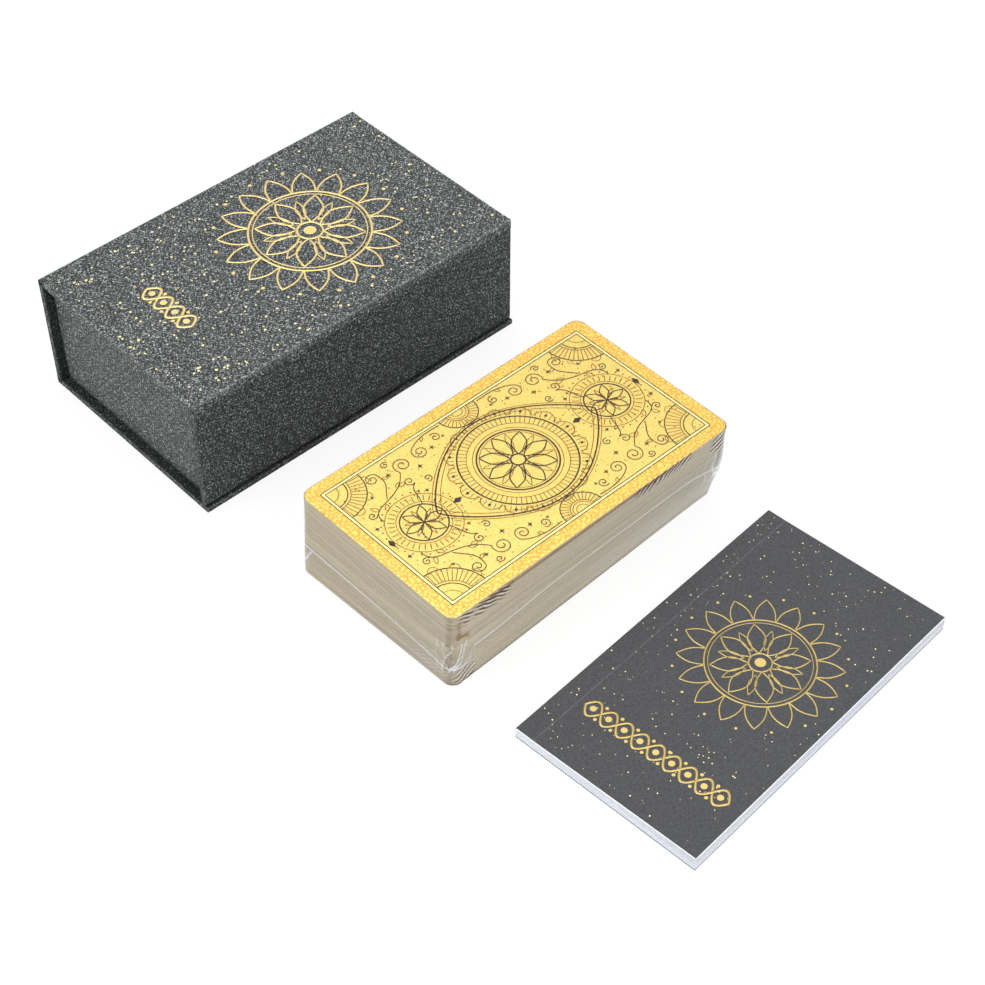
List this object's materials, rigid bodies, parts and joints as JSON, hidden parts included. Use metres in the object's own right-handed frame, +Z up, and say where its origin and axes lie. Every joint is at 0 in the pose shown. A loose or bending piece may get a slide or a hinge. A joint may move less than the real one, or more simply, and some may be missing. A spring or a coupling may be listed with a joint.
{
  "type": "tarot card deck",
  "caption": "Tarot card deck sealed in clear film, with a book-style rigid box that has a hinged lid and magnetic front flap, and a paper guide booklet with a turning cover and leaves.",
  "frame": {"origin": "centre of the underside of the box's base panel", "axes": "+X along the box, +Y from its flap towards its spine, +Z up"},
  "size_m": [0.1388, 0.2904, 0.047],
  "materials": {
    "speckled_paper": "matte",
    "grey_board": "matte",
    "lining_paper": "matte",
    "steel": "satin",
    "gold_card": "satin",
    "card_stock": "matte",
    "clear_film": "gloss",
    "cover_card": "matte",
    "leaf_paper": "matte",
    "glue": "satin"
  },
  "bodies": {
    "box": {"base_board": "grey_board", "base_wrap": "speckled_paper", "base_fold": "speckled_paper", "spine_board": "grey_board", "spine_wrap": "speckled_paper", "lid_fold": "speckled_paper", "tray_floor": "grey_board", "tray_floor_liner": "lining_paper", "tray_front_wall": "grey_board", "tray_back_wall": "grey_board", "tray_left_wall": "grey_board", "tray_right_wall": "grey_board", "tray_wrap": "speckled_paper", "tray_keepers": "steel"},
    "lid": {"lid_board": "grey_board", "lid_wrap": "speckled_paper", "lid_liner": "lining_paper", "flap_fold": "speckled_paper"},
    "flap": {"flap_board": "grey_board", "flap_wrap": "speckled_paper", "flap_liner": "lining_paper", "flap_magnets": "steel"},
    "deck": {"top_card": "gold_card", "trump_cards": "card_stock", "wands_cards": "card_stock", "cups_cards": "card_stock", "swords_cards": "card_stock", "coins_cards": "card_stock", "film_upper": "clear_film", "film_lower": "clear_film", "film_seam": "clear_film"},
    "booklet": {"back_cover": "cover_card", "rest_leaves": "leaf_paper", "leaf_stubs": "leaf_paper", "spine_glue": "glue"},
    "cover": {"front_cover": "cover_card"},
    "first_leaves": {"first_leaves": "leaf_paper"},
    "next_leaves": {"next_leaves": "leaf_paper"}
  },
  "joints": [
    {"name": "lid_hinge", "type": "hinge", "parent": "box", "child": "lid", "pos_m": [0, 0.0421, 0.0462], "axis": [-1, 0, 0], "range_deg": [0, 180], "deforming": ["lid_fold"]},
    {"name": "flap_hinge", "type": "hinge", "parent": "lid", "child": "flap", "pos_m": [0, -0.0409, 0.0462], "axis": [-1, 0, 0], "range_deg": [0, 120], "deforming": ["flap_fold"]},
    {"name": "deck_lift", "type": "slide", "parent": "box", "child": "deck", "axis": [0, 0, 1], "range_m": [0, 0.1]},
    {"name": "booklet_lift", "type": "slide", "parent": "box", "child": "booklet", "axis": [0, 0, 1], "range_m": [0, 0.1]},
    {"name": "cover_hinge", "type": "hinge", "parent": "booklet", "child": "cover", "pos_m": [0.0044, -0.18068, 0.00404], "axis": [-0.9974, -0.0715, 0], "range_deg": [0, 115]},
    {"name": "first_leaves_hinge", "type": "hinge", "parent": "booklet", "child": "first_leaves", "pos_m": [0.0044, -0.18068, 0.00404], "axis": [-0.9974, -0.0715, 0], "range_deg": [0, 90]},
    {"name": "next_leaves_hinge", "type": "hinge", "parent": "booklet", "child": "next_leaves", "pos_m": [0.0044, -0.18068, 0.00404], "axis": [-0.9974, -0.0715, 0], "range_deg": [0, 60]}
  ],
  "couplings": [
    {"joint": "first_leaves_hinge", "follows": "cover_hinge", "ratio": 0.75},
    {"joint": "next_leaves_hinge", "follows": "cover_hinge", "ratio": 0.42}
  ]
}
